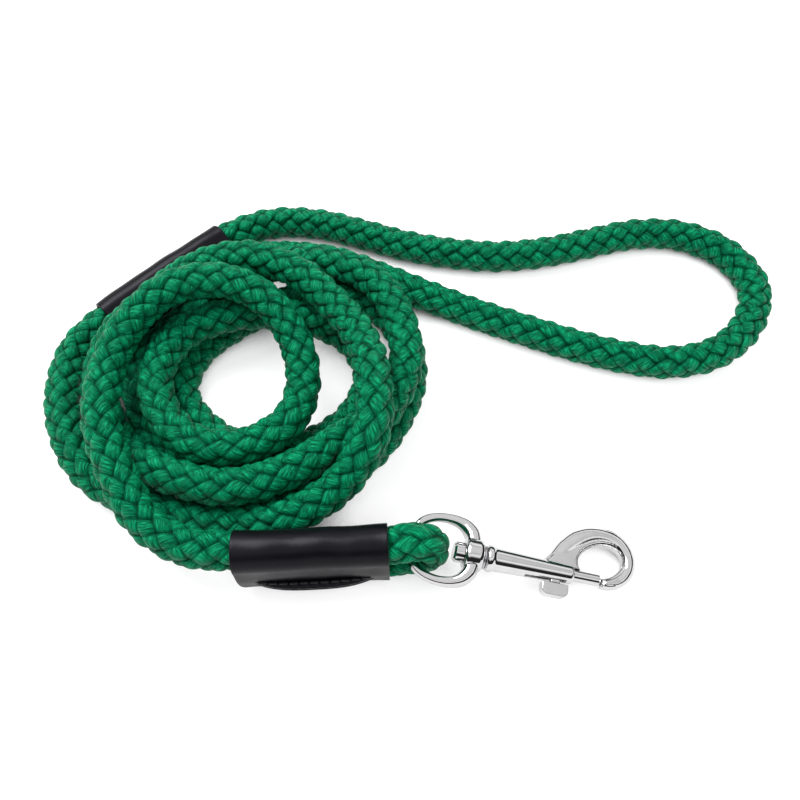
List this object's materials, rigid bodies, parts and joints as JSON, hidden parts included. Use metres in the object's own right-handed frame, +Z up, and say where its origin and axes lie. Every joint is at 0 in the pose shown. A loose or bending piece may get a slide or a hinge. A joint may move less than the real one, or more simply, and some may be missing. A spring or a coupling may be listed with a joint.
{
  "type": "horse lead rope with bolt snap",
  "caption": "Coiled braided lead rope with a leather-wrapped hand loop at one end and a swivel bolt snap for a halter ring at the other.",
  "frame": {"origin": "centre of the bounding box in plan, on the surface that the coiled rope lies on", "axes": "+Z up from that surface; the coil is towards -X, the hand loop's bow towards +X, and the snap runs along +X at the -Y side"},
  "size_m": [0.3439, 0.2048, 0.0496],
  "materials": {
    "rope": "braided synthetic rope with a soft sheen",
    "leather": "smooth black leather, satin",
    "thread": "waxed black thread",
    "tape": "matt cloth tape",
    "plated_metal": "polished nickel plating",
    "wire": "drawn wire"
  },
  "bodies": {
    "lead": {"rope": "rope", "hand_loop_sleeve": "leather", "hand_loop_seam_thread": "thread", "hand_loop_hog_rings": "wire", "hand_loop_rope_end_tape": "tape", "snap_sleeve": "leather", "snap_seam_thread": "thread", "snap_hog_rings": "wire", "snap_rope_end_tape": "tape"},
    "eye": {"swivel_eye": "plated_metal"},
    "snap": {"swivel_shank": "plated_metal", "swivel_washer": "wire", "snap_body": "plated_metal", "bolt_spring": "wire"},
    "plunger": {"bolt": "plated_metal", "thumb_knob": "plated_metal"}
  },
  "joints": [
    {"name": "eye_swing", "type": "hinge", "parent": "lead", "child": "eye", "pos_m": [-0.0045, -0.0834, 0.017], "axis": [0.1564, 0.9877, 0], "range_deg": [-80, 60]},
    {"name": "snap_swivel", "type": "hinge", "parent": "eye", "child": "snap", "pos_m": [-0.0045, -0.0834, 0.017], "axis": [0.9761, -0.1546, -0.153], "continuous": true},
    {"name": "bolt_slide", "type": "slide", "parent": "snap", "child": "plunger", "axis": [-0.9761, 0.1546, 0.153], "range_m": [0, 0.01], "stiffness_N_per_m": 300, "springref_m": -0.01, "deforming": ["bolt_spring"]}
  ]
}
